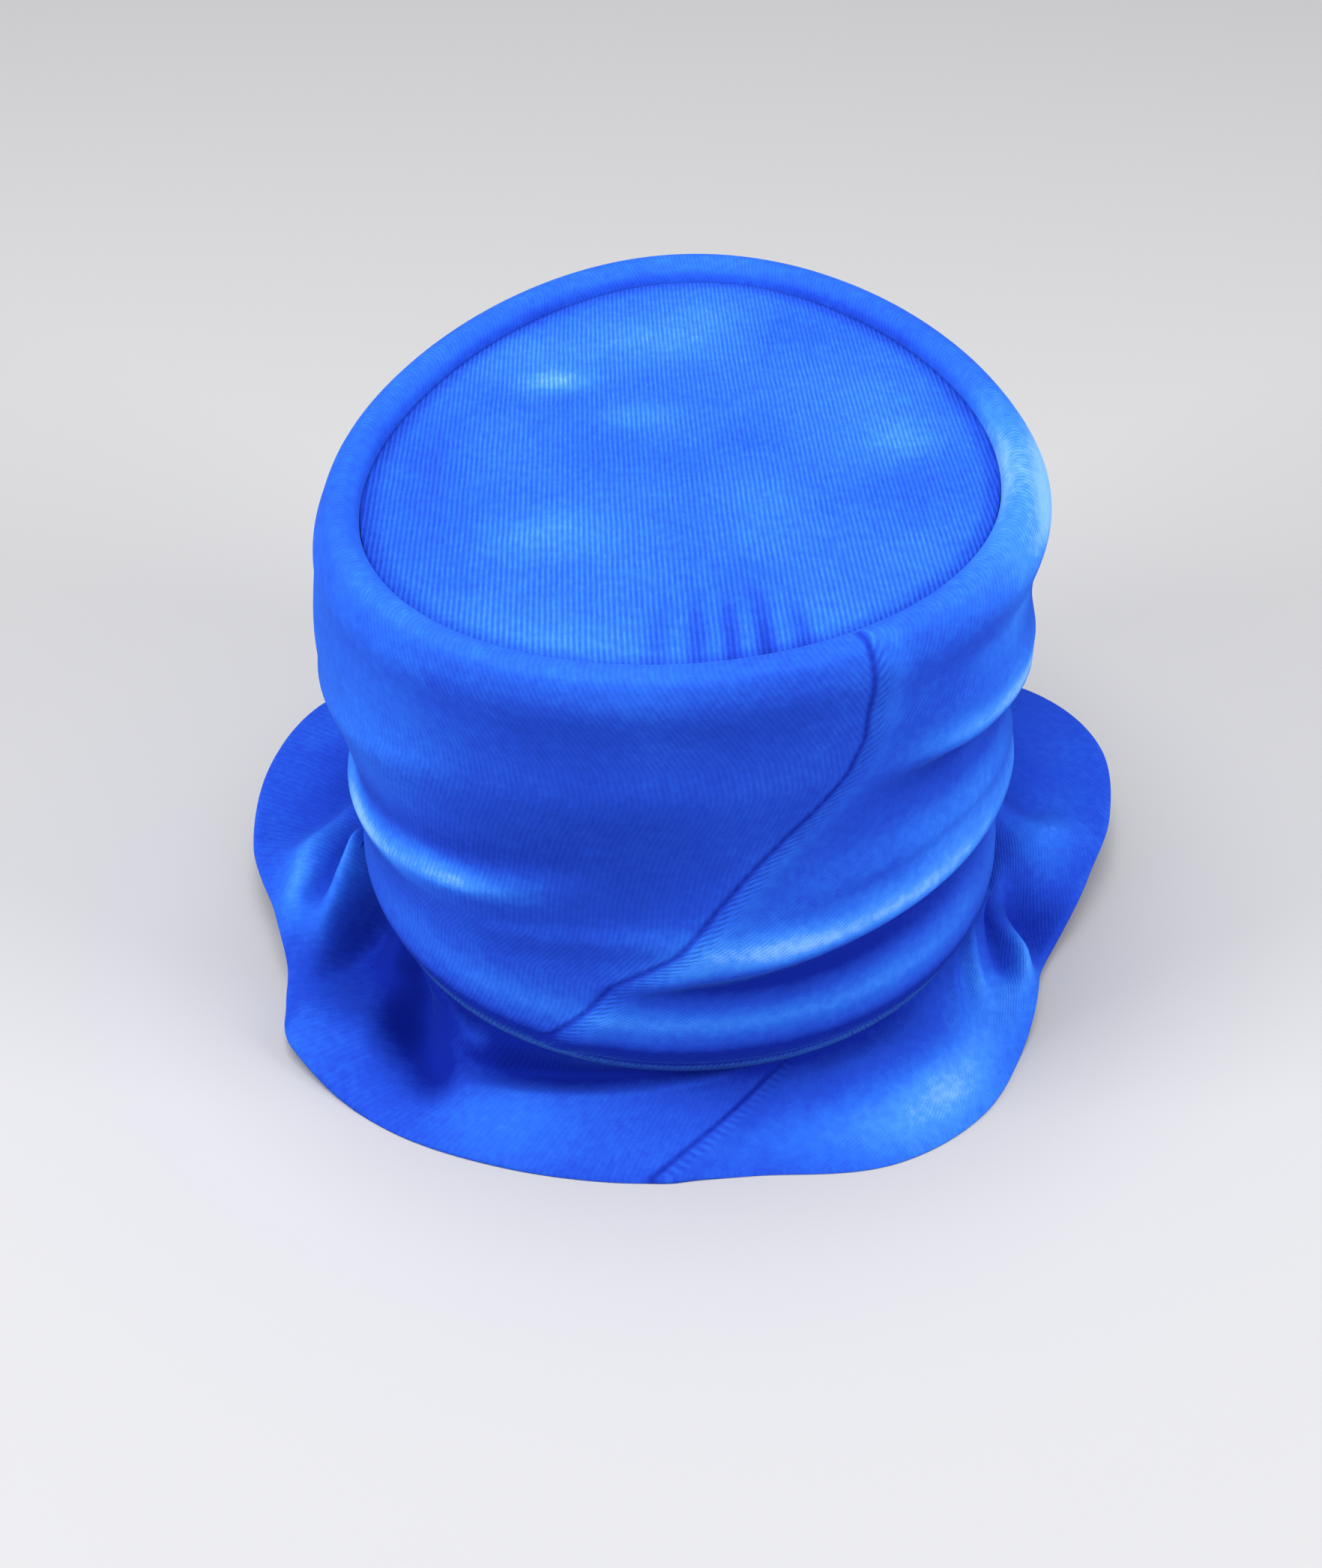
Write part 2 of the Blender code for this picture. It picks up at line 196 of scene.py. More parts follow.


# %% [markdown]
# ## Velvet
#
# Velvet is a short upright pile on a ribbed ground. Its pile takes light like a soft brush: deep blue
# when you look down into it, pale at the edges of a form and wherever a hand has brushed it the
# other way. So the colour comes from a value kept on the cloth that holds the brushed pile together
# with painted light: paler where the cloth faces up and on the lips of folds, painted shade in the
# recesses and under the crown. The soft edges come from sheen, and the ribs and the seams from bump,
# which read distances kept on the cloth. The ribs, puckers and seam groove also darken the colour with
# painted shade. The ribs mirror at the seam, where two slanting edges meet.


# %% The velvet material
# the pile value, brushed pile with painted light and shade, from looking down into the pile to brushed flat,
# and its blue
PILE_BLUES = (
    (0.00, (0.005, 0.018, 0.300, 1)),
    (0.40, (0.016, 0.066, 0.560, 1)),
    (0.62, (0.024, 0.135, 0.720, 1)),
    (0.82, (0.050, 0.240, 0.860, 1)),
    (1.00, (0.200, 0.440, 0.960, 1)),
)


def velvet(name, rib_height, rib_shade):
    """Principled velvet: colour from the brushed pile with its painted light, fine pile noise, ribs, and a
    pinched seam line.
    """
    material = bpy.data.materials.new(name)
    material.use_nodes = True
    nodes, links = material.node_tree.nodes, material.node_tree.links
    shader = nodes["Principled BSDF"]
    shader.inputs["Roughness"].default_value = 0.92
    shader.inputs["Specular IOR Level"].default_value = 0.02
    shader.inputs["Sheen Weight"].default_value = 0.40
    shader.inputs["Sheen Roughness"].default_value = 0.30
    shader.inputs["Sheen Tint"].default_value = (0.08, 0.30, 1.0, 1.0)

    def math_node(operation, first, second=None, third=None):
        node = nodes.new("ShaderNodeMath")
        node.operation = operation
        for socket, value in zip(node.inputs, (first, second, third)):
            if value is None:
                continue
            if isinstance(value, (int, float)):
                socket.default_value = value
            else:
                links.new(value, socket)
        return node.outputs[0]

    def stored(attribute):
        node = nodes.new("ShaderNodeAttribute")
        node.attribute_name = attribute
        return node.outputs["Fac"]

    def noise(scale, detail):
        node = nodes.new("ShaderNodeTexNoise")
        node.inputs["Scale"].default_value = scale
        node.inputs["Detail"].default_value = detail
        links.new(place, node.inputs["Vector"])
        return math_node("SUBTRACT", node.outputs["Fac"], 0.5)

    def bell_node(gap, width):
        share = math_node("DIVIDE", gap, width)
        return math_node("EXPONENT", math_node("MULTIPLY", math_node("MULTIPLY", share, share), -1.0))

    place = nodes.new("ShaderNodeTexCoord").outputs["Object"]
    wander = math_node("MULTIPLY", noise(90, 2), 0.0006)
    rib_place = math_node("ADD", stored("grain"), wander)
    rib = math_node("SINE", math_node("MULTIPLY", rib_place, 2 * math.pi / RIB))
    broken = math_node("MULTIPLY_ADD", noise(260, 3), 1.4, 0.75)
    rib = math_node("MULTIPLY", rib, broken)
    pile = noise(2600, 2)
    brushed = noise(28, 4)
    streak = noise(420, 3)

    seam = bell_node(stored("seam"), SEAM_WIDTH)
    lip = bell_node(math_node("ADD", stored("seam"), LIP_AT), LIP_WIDTH)
    slant = math_node("MULTIPLY_ADD", stored("seam"), 0.9, stored("stitch"))
    pucker = math_node("SINE", math_node("MULTIPLY", slant, 2 * math.pi / STITCH))
    pucker = math_node("MULTIPLY", pucker, lip)

    shade = stored("pile_and_painted_light")
    # painted shade in the grooves of the ribs and the seam, and painted light and shade on the puckers; the
    # brushed, streak and pile noise is the pile's own tone
    shades = ((brushed, 0.34), (streak, 0.22), (pile, 0.16), (rib, rib_shade), (pucker, 0.07), (seam, -0.34))
    for mark, strength in shades:
        shade = math_node("MULTIPLY_ADD", mark, strength, shade)
    ramp = nodes.new("ShaderNodeValToRGB")
    stops = ramp.color_ramp.elements
    stops[0].color, stops[1].color = PILE_BLUES[0][1], PILE_BLUES[-1][1]
    for position, colour in PILE_BLUES[1:-1]:
        stop = stops.new(position)
        stop.color = colour
    links.new(shade, ramp.inputs["Fac"])
    links.new(ramp.outputs["Color"], shader.inputs["Base Color"])

    height = math_node("MULTIPLY", rib, rib_height)
    for mark, depth in ((pile, 0.00012), (streak, 0.00018), (pucker, 0.00012), (seam, -0.00030)):
        height = math_node("MULTIPLY_ADD", mark, depth, height)
    bump = nodes.new("ShaderNodeBump")
    bump.inputs["Strength"].default_value = 0.9
    bump.inputs["Distance"].default_value = 1.0
    links.new(height, bump.inputs["Height"])
    links.new(bump.outputs["Normal"], shader.inputs["Normal"])
    return material


# %% [markdown]
# ## From a grid to a piece of cloth
#
# Each cloth is a grid of points, closed round the head. A piece keeps four numbers at every point:
# the brushed pile with its painted light and shade, the distance across its ribs, the distance from its
# seam, and the distance along that seam.


# %% Pieces
def loop_quads(rows, columns, closed):
    """Quads between neighbouring rows and columns; columns always wrap, rows wrap where closed."""
    i, j = np.meshgrid(np.arange(rows if closed else rows - 1), np.arange(columns), indexing="ij")
    below, beside = (i + 1) % rows, (j + 1) % columns
    corners = [i * columns + j, i * columns + beside, below * columns + beside, below * columns + j]
    return np.stack(corners, axis=-1).reshape(-1, 4)


def cloth_piece(name, points, faces, values, material, node):
    """A smooth mesh with its stored values, riding on the hat and standing for one CAD node."""
    mesh = bpy.data.meshes.new(name)
    mesh.from_pydata((points + PLAN_SHIFT).tolist(), [], faces)
    mesh.shade_smooth()
    for key, value in values.items():
        stored = mesh.attributes.new(key, "FLOAT", "POINT")
        stored.data.foreach_set("value", np.ascontiguousarray(value, dtype=np.float32).ravel())
    mesh.materials.append(material)
    piece = bpy.data.objects.new(name, mesh)
    bpy.context.scene.collection.objects.link(piece)
    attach(piece, "root")
    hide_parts(node)
    low, high = points.min(axis=0), points.max(axis=0)
    print(name, len(faces), "faces, from", np.round(low, 4), "to", np.round(high, 4))
    return piece


# %% [markdown]
# ## The draped side
#
# The milliner cuts the side on the bias, closes it with one slanting seam, and lets the spare length
# fall into swags. The profile goes up inside the roll, over its crest, down the wall and under the
# bulge to the head line. Its shares are of SHOULDER_REACH across and of CROWN_DEPTH upwards.

# %% The side's profile and swags
ROLL = ((0.00, -0.75), (0.00, 0.05), (0.09, 0.62), (0.34, 1.00), (0.66, 0.72))
WALL = (
    dict(height=0.975, back=0.84, left=0.88, front=0.68, right=1.02),
    dict(height=0.910, back=0.92, left=1.06, front=0.80, right=1.08),
    dict(height=0.810, back=0.88, left=1.22, front=0.84, right=0.93),
    dict(height=0.680, back=0.80, left=1.34, front=0.86, right=0.76),
    dict(height=0.550, back=0.74, left=1.28, front=0.80, right=0.63),
    dict(height=0.420, back=0.70, left=1.08, front=0.76, right=0.54),
    dict(height=0.300, back=0.66, left=0.84, front=0.72, right=0.50),
    dict(height=0.190, back=0.66, left=0.66, front=0.70, right=0.60),
    dict(height=0.090, back=0.70, left=0.64, front=0.70, right=0.68),
)
TUCK = ((0.73, 0.30), (0.72, 0.78), (0.61, 1.20), (0.43, 1.20), (0.30, 0.80), (0.235, 0.24))
ROLL_FULLNESS = np.array([0.55, 1.0, 1.0, 1.0])
BULGE_FULLNESS = np.array([1.0, 0.75, 0.65, 0.85])
FOLD_DEPTH = 0.0068
# the share of FOLD_DEPTH by which the wall between the swags is drawn in
TAKEN_IN = 0.25
# the side's base pile value, and painted top light: paler where the cloth faces up, up to its steepest slope
SIDE_NAP, SIDE_PAINTED_TOP_LIGHT, SIDE_STEEPEST = 0.42, 0.22, 0.7
# painted highlight on the welt beside the seam, and painted shade under the bulge
WELT_PAINTED_HIGHLIGHT, UNDERSIDE_SHADE = 0.10, 0.50
# from turn, to turn, from level, to level, sag, depth, width above, width below
SWAGS = (
    (-98, -24, 0.44, 0.66, 0.08, 0.85, 0.13, 0.040),
    (-112, 20, 0.21, 0.11, 0.11, 1.00, 0.17, 0.040),
    (10, 112, 0.43, 0.14, -0.02, 0.75, 0.045, 0.15),
    (-34, 66, 0.66, 0.60, 0.05, 0.25, 0.08, 0.14),
    (112, 236, 0.50, 0.34, -0.08, 0.55, 0.16, 0.09),
    (150, 250, 0.20, 0.48, -0.08, 0.55, 0.15, 0.09),
    (-90, -30, 0.60, 0.78, 0.03, 0.12, 0.06, 0.030),
    (-84, -10, 0.36, 0.36, 0.06, 0.22, 0.05, 0.030),
    (30, 100, 0.70, 0.52, -0.02, 0.18, 0.04, 0.06),
    (-6, 40, 0.30, 0.20, 0.00, 0.18, 0.03, 0.05),
)
# painted highlight on the lip of each swag and painted shade in the recess under it, and a painted highlight
# on the bulge's lower lip
SIDE_PAINTED_FOLD_LIGHT = (
    (-98, -24, 0.47, 0.68, 0.08, 0.42, 0.060, 0.025),
    (-98, -24, 0.40, 0.61, 0.08, -0.40, 0.025, 0.070),
    (-112, 20, 0.24, 0.14, 0.11, 0.24, 0.070, 0.025),
    (-112, 20, 0.165, 0.065, 0.11, -0.55, 0.028, 0.075),
    (10, 112, 0.44, 0.15, -0.02, 0.26, 0.030, 0.030),
    (10, 112, 0.52, 0.23, -0.02, -0.18, 0.070, 0.030),
    (-80, 70, 0.03, 0.03, 0.00, 0.14, 0.060, 0.030),
)
# pale marks are brushed pile with painted highlights on the roll's shoulder and the bulge's lower lip; dark
# marks are painted shade in recesses and across the middle of the wall
# turn, level, width in turn, width in level, strength
SIDE_BRUSHING_AND_PAINTED_LIGHT = (
    (-80, 0.97, 22, 0.09, 0.60),
    (-58, 0.84, 14, 0.05, 0.18),
    (-55, 0.63, 20, 0.035, 0.26),
    (-42, 0.27, 30, 0.045, 0.26),
    (-12, 0.26, 14, 0.05, 0.16),
    (60, 0.27, 18, 0.035, 0.30),
    (34, 0.36, 12, 0.030, 0.18),
    (-12, 0.03, 44, 0.035, 0.14),
    (86, 0.90, 26, 0.06, 0.14),
    (58, 0.60, 18, 0.24, 0.20),
    (-50, 0.42, 16, 0.08, 0.16),
    (8, 0.55, 34, 0.28, -0.10),
    (-30, 0.14, 30, 0.03, -0.20),
    (-62, 0.50, 22, 0.035, -0.16),
)
# turn and level of the seam, from the roll down to the tuck
SEAM = np.array(
    [(-25, 1.06), (-25, 0.87), (-25, 0.78), (-23, 0.70), (-19, 0.63), (-15, 0.57), (-10, 0.48), (-5, 0.38)]
    + [(-2, 0.31), (1, 0.25), (6, 0.19), (11, 0.135), (15, 0.045), (20, -0.036), (27, -0.12)]
)


# %% The side's surface
def seam_distances(turn, level, seam, turn_size, level_size):
    """How far each point is across and along a seam: the gap in turn, squared up to the seam's slope."""
    order = np.argsort(seam[:, 1])
    levels, degrees = seam[order, 1], seam[order, 0]
    at = np.interp(level, levels, degrees)
    slope = np.gradient(degrees, levels) * turn_size / level_size
    steps = np.hypot(np.diff(degrees) * turn_size, np.diff(levels) * level_size)
    run = np.concatenate([[0], np.cumsum(steps)])
    gap = (np.degrees(turn) - at + 180) % 360 - 180
    across = gap * turn_size / np.sqrt(1 + np.interp(level, levels, slope) ** 2)
    across = np.where(np.abs(gap) > SEAM_SPAN, np.copysign(NO_SEAM, gap), across)
    return across, np.interp(level, levels, run), np.abs(gap)


def side_surface(columns, roll_rows, wall_rows, tuck_rows):
    """The profile carried round an oval that eases from the tip's to the head's, with the swags."""
    tip_seam = HEAD_LINE + CROWN_DEPTH
    names, reach = ("back", "left", "front", "right"), SHOULDER_REACH
    rows = [[reach * out] * 4 + [tip_seam, ROLL_RISE * rise, 0] for out, rise in ROLL]
    rows += [[reach * r[n] for n in names] + [HEAD_LINE + CROWN_DEPTH * r["height"], 0, 0] for r in WALL]
    rows += [[reach * out] * 4 + [HEAD_LINE, 0, -BULGE_DROP * drop] for out, drop in TUCK]
    rows.append([COLLAR_CLOTH + SEAM_GAP] * 4 + [HEAD_LINE + SEAM_GAP, 0, 0])
    wall_start, tuck_start = len(ROLL), len(ROLL) + len(WALL)
    roll_places = np.linspace(0, wall_start, roll_rows, endpoint=False)
    wall_places = np.linspace(wall_start, tuck_start, wall_rows, endpoint=False)
    places = np.concatenate([roll_places, wall_places, np.linspace(tuck_start, len(rows) - 1, tuck_rows)])
    curve = smooth_rows(np.array(rows, float), places)
    turn = turns(columns)
    weights = side_weights(turn)
    out = curve[:, :4] @ weights
    roll, bulge = ROLL_FULLNESS @ weights, BULGE_FULLNESS @ weights
    height = curve[:, 4:5] + curve[:, 5:6] * roll + curve[:, 6:7] * bulge
    free_level = (height - HEAD_LINE) / CROWN_DEPTH
    level = np.clip(free_level, 0, 1)
    tip_x, tip_y = oval(turn, TIP_WIDTH, TIP_LENGTH, TIP_EGG, TIP_SHIFT, TIP_SKEW)
    head_x, head_y = oval(turn, HEAD_WIDTH, HEAD_LENGTH, HEAD_EGG, HEAD_SHIFT)
    tip_normal, head_normal = plan_normal(tip_x, tip_y), plan_normal(head_x, head_y)
    blend = ease(level)

    def between(at_head, at_tip):
        return at_head + (at_tip - at_head) * blend

    x = between(head_x, tip_x) + out * between(head_normal[0], tip_normal[0])
    y = between(head_y, tip_y) + out * between(head_normal[1], tip_normal[1])
    grid = np.stack([x, y, height], axis=2)
    turn_size = math.radians(1) * (HEAD_WIDTH + HEAD_LENGTH + 4 * SHOULDER_REACH) / 4
    folds = fold_field(SWAGS, turn[None, :], level, turn_size / CROWN_DEPTH)
    fade = ease((tuck_start + 2.5 - places) / 2.0)[:, None] * ease((0.97 - level) / 0.12)
    across, along, from_seam = seam_distances(turn[None, :], free_level, SEAM, turn_size, CROWN_DEPTH)
    outer = ease((places - 2.5) / 1.5)[:, None] * ease((len(rows) - 3 - places) / 1.5)[:, None]
    welt = 0.0009 * bell(across + 0.0050, 0.0042)
    taken_in = TAKEN_IN * ease(level / 0.25) * ease((0.97 - level) / 0.12)
    lift = FOLD_DEPTH * (fade * folds - taken_in) + outer * welt
    grid = grid + lift[:, :, None] * surface_normals(grid)
    facing_up = surface_normals(grid)[:, :, 2]
    # painted light: paler where the cloth faces up, darker where it faces down
    pile_and_painted_light = SIDE_NAP + SIDE_PAINTED_TOP_LIGHT * np.clip(facing_up, -SIDE_STEEPEST, SIDE_STEEPEST)
    # brushed pile, with painted highlights and painted shade from the patches
    pile_and_painted_light = pile_and_painted_light + patches(SIDE_BRUSHING_AND_PAINTED_LIGHT, turn[None, :], free_level)
    # painted highlights on the swags' lips and painted shade in their recesses
    pile_and_painted_light = pile_and_painted_light + fade * fold_field(SIDE_PAINTED_FOLD_LIGHT, turn[None, :], free_level, turn_size / CROWN_DEPTH)
    # painted highlight on the welt beside the seam
    pile_and_painted_light = pile_and_painted_light + WELT_PAINTED_HIGHLIGHT * bell(across + 0.0060, 0.0040) * outer
    # painted shade under the crown's bulge
    pile_and_painted_light = pile_and_painted_light - UNDERSIDE_SHADE * ease((-0.02 - free_level) / 0.05)
    bias = math.radians(30)
    grain = turn_size * from_seam * math.cos(bias) - CROWN_DEPTH * free_level * math.sin(bias)
    hidden = np.where(outer > 0.02, across, np.copysign(NO_SEAM, across))
    return grid, dict(pile_and_painted_light=pile_and_painted_light, grain=grain, seam=hidden, stitch=along)


def with_lining(grid, values, cloth, every):
    """The outer grid followed by its inner face, one cloth further in, taking every few rows."""
    inner = (grid - cloth * surface_normals(grid))[::-1]
    keep = np.unique(np.append(np.arange(0, len(inner), every), len(inner) - 1))
    section = np.vstack([grid, inner[keep]])
    values = {key: np.vstack([value, value[::-1][keep]]) for key, value in values.items()}
    values["seam"][len(grid):] = NO_SEAM
    values["pile_and_painted_light"][len(grid):] = 0.40
    return section, values


side_grid, side_values = side_surface(columns=480, roll_rows=26, wall_rows=84, tuck_rows=26)
side_section, side_values = with_lining(side_grid, side_values, CLOTH, 3)
side_faces = loop_quads(*side_section.shape[:2], closed=True).tolist()
side_velvet = velvet("side_velvet", 0.00004, 0.040)
cloth_piece(
    "draped_side", side_section.reshape(-1, 3), side_faces, side_values, side_velvet, "crown_side"
)

# %% [markdown]
# ## The brim
#
# The brim is two layers turned out through their outer edge, so that edge is a soft roll. It goes down
# from a collar inside the crown, falls in a bell, is pinched in behind each ear, and lies flat where
# it meets the table. Reach is a share of BRIM_REACH, lift a share of HEAD_LINE.

# %% The brim's edge and folds
BRIM_EDGE = (
    dict(turn=-10, reach=0.52, lift=0.00),
    dict(turn=10, reach=0.57, lift=0.00),
    dict(turn=25, reach=0.66, lift=0.00),
    dict(turn=40, reach=0.80, lift=0.00),
    dict(turn=53, reach=0.88, lift=0.00),
    dict(turn=61, reach=0.89, lift=0.03),
    dict(turn=70, reach=0.78, lift=0.18),
    dict(turn=79, reach=0.84, lift=0.30),
    dict(turn=90, reach=1.00, lift=0.38),
    dict(turn=107, reach=1.12, lift=0.42),
    dict(turn=122, reach=1.10, lift=0.38),
    dict(turn=138, reach=0.92, lift=0.14),
    dict(turn=154, reach=0.80, lift=0.00),
    dict(turn=180, reach=0.88, lift=0.00),
    dict(turn=205, reach=0.80, lift=0.00),
    dict(turn=222, reach=0.86, lift=0.16),
    dict(turn=238, reach=1.12, lift=0.44),
    dict(turn=253, reach=1.22, lift=0.50),
    dict(turn=266, reach=1.06, lift=0.42),
    dict(turn=278, reach=0.80, lift=0.32),
    dict(turn=292, reach=0.58, lift=0.14),
    dict(turn=306, reach=0.67, lift=0.02),
    dict(turn=318, reach=0.75, lift=0.00),
    dict(turn=332, reach=0.72, lift=0.00),
)
BELL_STEEPNESS = 0.55
FLUTE_DEPTH = 0.0105
# from turn, to turn, from level, to level, sag, depth, width above, width below
FLUTES = (
    (88, 69, 0.00, 1.10, 0.00, 0.80, 0.20, 0.16),
    (76, 64, 0.00, 1.00, 0.00, -0.80, 0.20, 0.24),
    (34, 66, 0.15, 0.70, 0.05, -0.60, 0.22, 0.26),
    (50, 62, 0.55, 1.15, 0.00, 0.55, 0.30, 0.25),
    (122, 84, 0.30, 0.75, 0.05, -0.65, 0.25, 0.30),
    (46, -34, 0.62, 0.42, -0.05, -0.45, 0.28, 0.14),
    (-76, -55, 0.00, 1.15, 0.10, 0.70, 0.26, 0.22),
    (-86, -68, 0.00, 1.10, 0.05, -0.85, 0.22, 0.20),
    (-100, -84, 0.05, 1.00, 0.00, 0.60, 0.22, 0.28),
    (134, 142, 0.10, 1.10, 0.00, -0.60, 0.35, 0.35),
    (222, 212, 0.10, 1.10, 0.00, -0.60, 0.35, 0.35),
    (64, 60, 0.10, 0.50, 0.00, -0.35, 0.10, 0.14),
    (80, 67, 0.15, 1.00, 0.00, 0.25, 0.08, 0.08),
    (-58, -48, 0.20, 0.70, 0.05, 0.16, 0.06, 0.05),
)
CREASE_DEPTH = 0.0060
# the same columns, for the sharper creases beside the pinches and under the crown
CREASES = (
    (64, 52, 0.08, 0.60, 0.00, -1.00, 0.11, 0.11),
    (58, 34, 0.46, 0.80, 0.00, -1.00, 0.13, 0.11),
    (60, 28, 0.20, 0.50, 0.00, 0.60, 0.09, 0.12),
    (42, -22, 0.76, 0.24, 0.00, 0.70, 0.28, 0.07),
    (42, -16, 0.60, 0.14, 0.00, -0.75, 0.08, 0.16),
    (106, 69, 0.46, 1.00, 0.03, 0.80, 0.09, 0.12),
    (94, 71, 0.28, 0.90, 0.02, -0.70, 0.10, 0.09),
    (86, 66, 0.16, 0.98, 0.00, 0.60, 0.10, 0.08),
    (-86, -60, 0.46, 0.95, 0.00, 0.75, 0.09, 0.10),
    (-74, -60, 0.26, 0.90, 0.00, -0.80, 0.08, 0.09),
    (-67, -54, 0.12, 0.80, 0.00, 0.55, 0.08, 0.08),
    (-106, -88, 0.20, 0.80, 0.00, -0.45, 0.14, 0.14),
    (-48, 4, 0.34, 0.22, 0.00, -0.50, 0.12, 0.12),
)
# pale marks are brushed pile with painted highlights on the ridges; dark marks are painted shade in the
# valleys, in the dent behind the left ear and under the crown
# turn, level, width in turn, width in level, strength
BRIM_BRUSHING_AND_PAINTED_LIGHT = (
    (-28, 0.80, 20, 0.24, 0.24),
    (-56, 0.55, 10, 0.35, 0.20),
    (-85, 0.75, 8, 0.20, 0.16),
    (82, 0.35, 8, 0.30, 0.12),
    (60, 0.45, 9, 0.25, -0.24),
    (38, 0.35, 14, 0.20, -0.18),
    (-74, 0.70, 6, 0.30, -0.20),
    (105, 0.50, 14, 0.22, -0.10),
    (20, 0.85, 26, 0.18, 0.05),
    (8, 0.22, 34, 0.16, -0.16),
    (-42, 0.85, 12, 0.22, 0.36),
)
# the brim's base pile value, painted top light where it faces up, and painted light on the ridges and
# painted shade in the valleys of its flutes and creases
BRIM_NAP, BRIM_PAINTED_TOP_LIGHT, BRIM_FOLD_PAINTED_LIGHT, BRIM_CREASE_PAINTED_LIGHT = 0.14, 0.18, 0.24, 0.42
# painted shade where the brim meets the crown, and a painted highlight towards its outer edge
NECK_SHADE, EDGE_PAINTED_HIGHLIGHT = 0.22, 0.10
# turn and level of the seam, from the neck down to the edge
BRIM_SEAM = np.array([(-24, 0.0), (-21, 0.2), (-10, 0.55), (-2, 0.8), (7, 1.1)])


# %% The brim's surface
def brim_surface(columns, neck_rows, bell_rows):
    """Collar and neck straight down, then a parabola out to the edge, with the folds on it."""
    turn = turns(columns)
    head_x, head_y = oval(turn, HEAD_WIDTH, HEAD_LENGTH, HEAD_EGG, HEAD_SHIFT)
    normal_x, normal_y = plan_normal(head_x, head_y)
    half_edge = BRIM_CLOTH / 2
    neck = BULGE_DROP * (BULGE_FULLNESS @ side_weights(turn)) + SEAM_GAP
    reach = BRIM_REACH * round_values(BRIM_EDGE, "reach", turn) - COLLAR_CLOTH - half_edge
    lift = HEAD_LINE * np.maximum(round_values(BRIM_EDGE, "lift", turn), 0)
    drop = HEAD_LINE - lift - half_edge + REST_SINK - neck
    along = np.linspace(0, 1, bell_rows)[:, None]
    start = np.linspace(-1, 0, neck_rows, endpoint=False)[:, None]
    straight = COLLAR_RISE * start + (neck + COLLAR_RISE) * (start + 1)
    rise = 2 * along * (1 - along) * BELL_STEEPNESS + along**2
    out = np.vstack([0 * straight, along**2 * reach]) + COLLAR_CLOTH
    down = np.vstack([straight, neck + rise * drop])
    grid = np.stack([head_x + out * normal_x, head_y + out * normal_y, HEAD_LINE - down], axis=2)
    turn_size = math.radians(1) * (HEAD_WIDTH + HEAD_LENGTH + 2 * BRIM_REACH) / 4
    level = np.vstack([start + 0 * turn, along + 0 * turn])
    folds = fold_field(FLUTES, turn[None, :], level, turn_size / BRIM_REACH) * ease(level / 0.35)
    creases = fold_field(CREASES, turn[None, :], level, turn_size / BRIM_REACH) * ease((level - 0.10) / 0.30)
    across, stitch, from_seam = seam_distances(turn[None, :], level, BRIM_SEAM, turn_size, BRIM_REACH)
    shown = ease(level / 0.12)
    welt = 0.0006 * bell(across + 0.0040, 0.0036)
    lift = FLUTE_DEPTH * folds + CREASE_DEPTH * creases + shown * welt
    grid = grid + lift[:, :, None] * surface_normals(grid)
    facing_up = surface_normals(grid)[:, :, 2]
    # painted light: paler where the brim faces up and on the ridges of its flutes and creases, painted shade
    # in their valleys
    pile_and_painted_light = BRIM_NAP + BRIM_PAINTED_TOP_LIGHT * facing_up + BRIM_FOLD_PAINTED_LIGHT * folds + BRIM_CREASE_PAINTED_LIGHT * creases
    # brushed pile, with painted highlights and painted shade from the patches
    pile_and_painted_light = pile_and_painted_light + patches(BRIM_BRUSHING_AND_PAINTED_LIGHT, turn[None, :], level)
    # painted shade near the crown and a painted highlight towards the outer edge
    pile_and_painted_light = pile_and_painted_light - NECK_SHADE * bell(level, 0.3) + EDGE_PAINTED_HIGHLIGHT * ease((level - 0.55) / 0.35)
    bias = math.radians(40)
    grain = turn_size * from_seam * math.cos(bias) + BRIM_REACH * level * math.sin(bias)
    seam = np.where(level > 0.05, across, np.copysign(NO_SEAM, across))
    return grid, dict(pile_and_painted_light=pile_and_painted_light, grain=grain, seam=seam, stitch=stitch), level


def edged(grid, values, level):
    """Adds a half-round edge and the lower face to the brim's upper face, and rests it on the table."""
    normal = surface_normals(grid)
    cloth = COLLAR_CLOTH + (BRIM_CLOTH - COLLAR_CLOTH) * ease((level + 0.3) / 0.3)
    lower = grid - cloth[:, :, None] * normal
    outwards = grid[-1] - grid[-3]
    outwards /= np.linalg.norm(outwards, axis=1, keepdims=True)
    middle = (grid[-1] + lower[-1]) / 2
    bends = np.radians(np.linspace(0, 180, 9)[1:-1])
    edge = [middle + BRIM_CLOTH / 2 * (math.cos(b) * normal[-1] + math.sin(b) * outwards) for b in bends]
    section = np.vstack([grid, np.array(edge), lower[::-1]])
    section[:, :, 2] = np.maximum(section[:, :, 2], 0.0)
    out = {}
    for key, value in values.items():
        out[key] = np.vstack([value, np.repeat(value[-1:], len(bends), axis=0), value[::-1]])
    out["seam"][len(grid) + len(bends):] = NO_SEAM
    return section, out


brim_top, brim_values, brim_level = brim_surface(columns=480, neck_rows=10, bell_rows=58)
brim_section, brim_values = edged(brim_top, brim_values, brim_level)
brim_faces = loop_quads(*brim_section.shape[:2], closed=True).tolist()
brim_velvet = velvet("brim_velvet", 0.00004, 0.022)
cloth_piece(
    "velvet_brim", brim_section.reshape(-1, 3), brim_faces, brim_values, brim_velvet, "brim"
)

# %% [markdown]
# ## The tip
#
# The tip lies inside the roll. Its ribs run from front to back and open a little towards the back,
# where the sewing has gathered the velvet into a few small pleats. The pile there is brushed in pale
# patches, as a hand leaves it.

